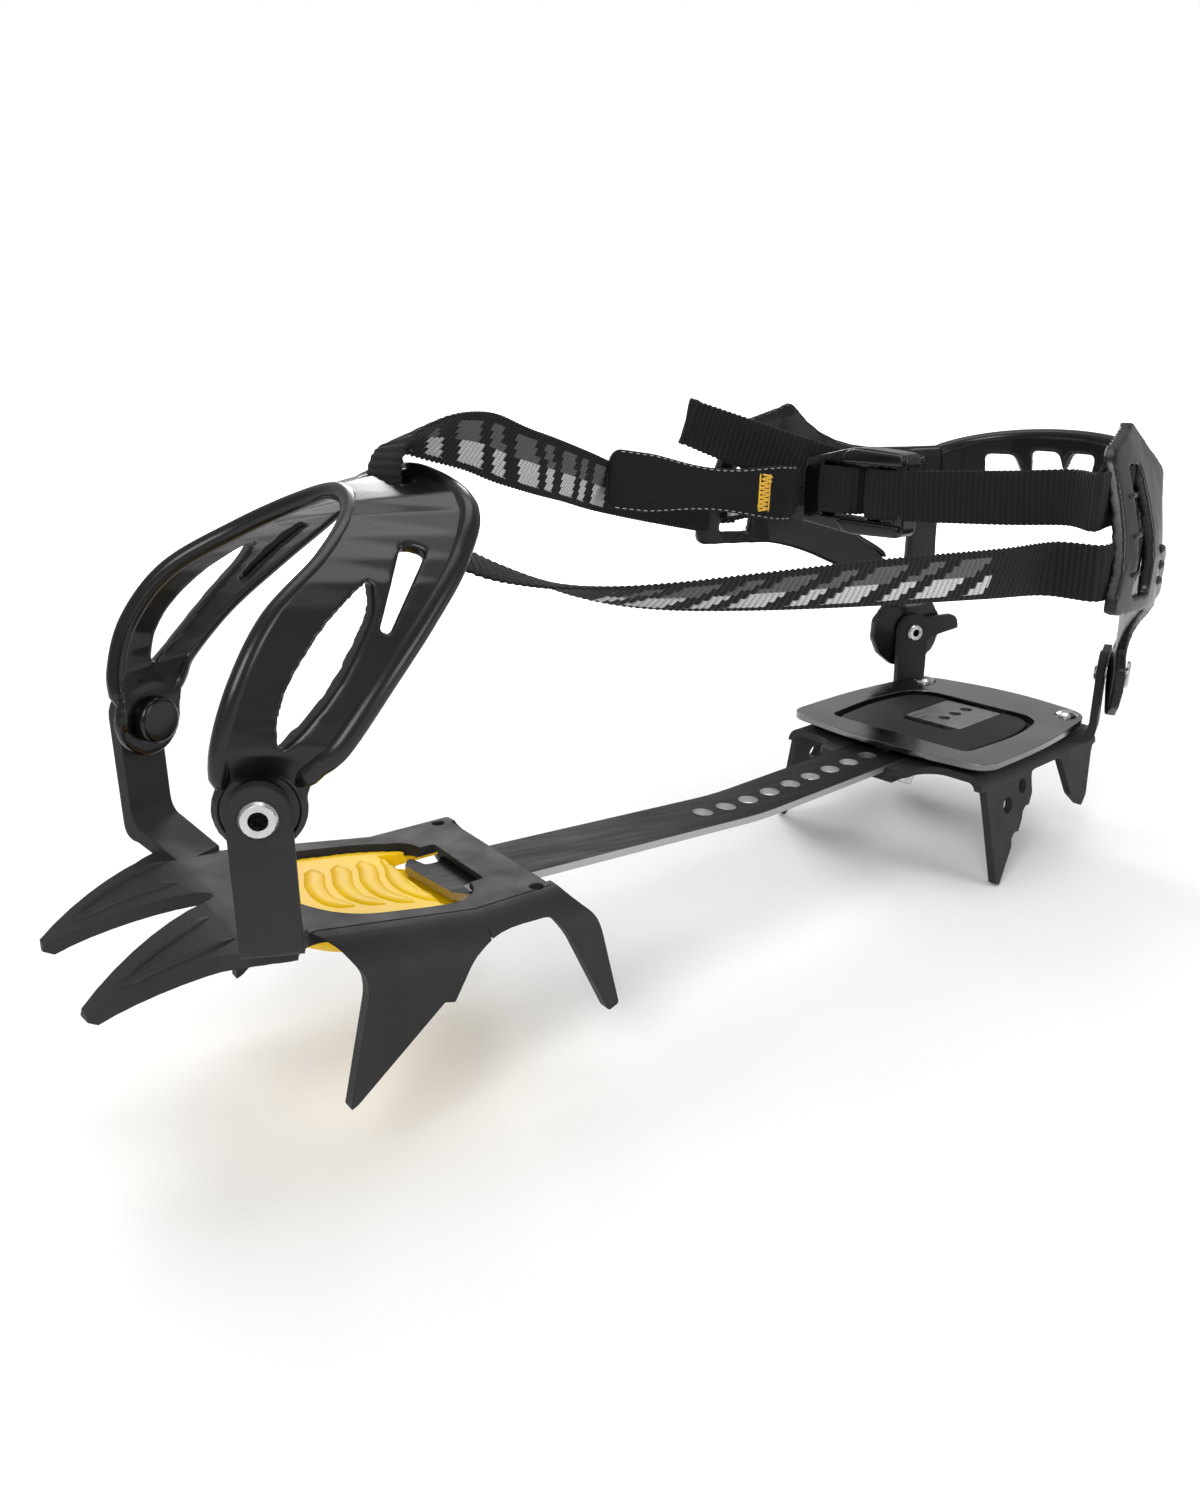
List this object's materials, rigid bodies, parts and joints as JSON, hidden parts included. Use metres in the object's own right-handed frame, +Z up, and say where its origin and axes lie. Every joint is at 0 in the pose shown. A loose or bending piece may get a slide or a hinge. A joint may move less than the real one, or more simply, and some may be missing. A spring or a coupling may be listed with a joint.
{
  "type": "strap-on crampon",
  "caption": "Strap-on crampon: pointed steel toe plate and heel plate on a perforated sliding bar, plastic toe and heel cradles, webbing strap, buckle and pull tab.",
  "frame": {"origin": "top face of the front plate, middle of its rear strip", "axes": "-Y towards the toe points, +X towards the crampon's left side, +Z up through the boot"},
  "size_m": [0.1533, 0.3612, 0.1501],
  "materials": {
    "black_steel": "satin charcoal powder coat",
    "polished_steel": "dark polished",
    "yellow_plastic": "glossy yellow",
    "black_plastic": "satin to glossy black",
    "black_rubber": "matt black",
    "black_leather": "fine grained matt black",
    "yellow_thread": "twisted thread",
    "bright_steel": "bright nickel plated",
    "black_webbing": "ribbed polyester webbing with a grey geometric band"
  },
  "bodies": {
    "front_section": {"front_plate": "black_steel", "front_snow_plate": "yellow_plastic", "front_pivot_rivet_left": "bright_steel", "front_pivot_rivet_right": "bright_steel"},
    "front_basket": {"front_cradle": "black_plastic", "long_strap_near_front": "black_webbing", "long_strap_far_front": "black_webbing"},
    "bar": {"linking_bar": "black_steel"},
    "heel_section": {"heel_frame_plate": "polished_steel", "heel_plate": "black_steel", "heel_pad": "black_rubber", "heel_window_plate": "polished_steel", "heel_snow_plate": "black_rubber", "lock_lever_axle": "bright_steel", "lock_lever_bracket": "black_steel", "heel_rivet_left": "bright_steel", "heel_rivet_right": "bright_steel", "rear_pivot_rivet_left": "bright_steel", "rear_pivot_rivet_right": "bright_steel"},
    "lock": {"lock_lever": "bright_steel", "lock_pin": "bright_steel"},
    "rear_basket": {"rear_cradle": "black_plastic", "long_strap_near_rear": "black_webbing", "long_strap_far_rear": "black_webbing", "short_strap": "black_webbing"},
    "buckle": {"buckle_body": "black_plastic", "buckle_pin": "black_plastic", "strap_tail": "black_webbing"},
    "pull_tab": {"pull_tab": "black_leather", "tab_stitching": "yellow_thread"}
  },
  "joints": [
    {"name": "front_basket_tilt", "type": "hinge", "parent": "front_section", "child": "front_basket", "pos_m": [0, -0.0658, 0.0385], "axis": [1, 0, 0], "range_deg": [-18, 18]},
    {"name": "bar_tip", "type": "hinge", "parent": "front_section", "child": "bar", "pos_m": [0, -0.0095, -0.0026], "axis": [1, 0, 0], "range_deg": [-1.5, 4]},
    {"name": "length_slide", "type": "slide", "parent": "bar", "child": "heel_section", "axis": [-0.0958, 0.9954, 0], "range_m": [-0.0585, 0.0195]},
    {"name": "lock_lever_flex", "type": "hinge", "parent": "heel_section", "child": "lock", "pos_m": [-0.02042, 0.21202, -0.0206], "axis": [0.9954, 0.0958, 0], "range_deg": [0, 12], "stiffness_Nm_per_rad": 0.3},
    {"name": "rear_basket_tilt", "type": "hinge", "parent": "heel_section", "child": "rear_basket", "pos_m": [-0.02254, 0.23412, 0.0096], "axis": [0.9954, 0.0958, 0], "range_deg": [-18, 15]},
    {"name": "buckle_swing", "type": "hinge", "parent": "rear_basket", "child": "buckle", "pos_m": [-0.0215, 0.157, 0.072], "axis": [0, 0, 1], "range_deg": [0, 20]},
    {"name": "pull_tab_swing", "type": "hinge", "parent": "buckle", "child": "pull_tab", "pos_m": [-0.0465, 0.1505, 0.069], "axis": [0, 0, 1], "range_deg": [-1, 45]}
  ]
}
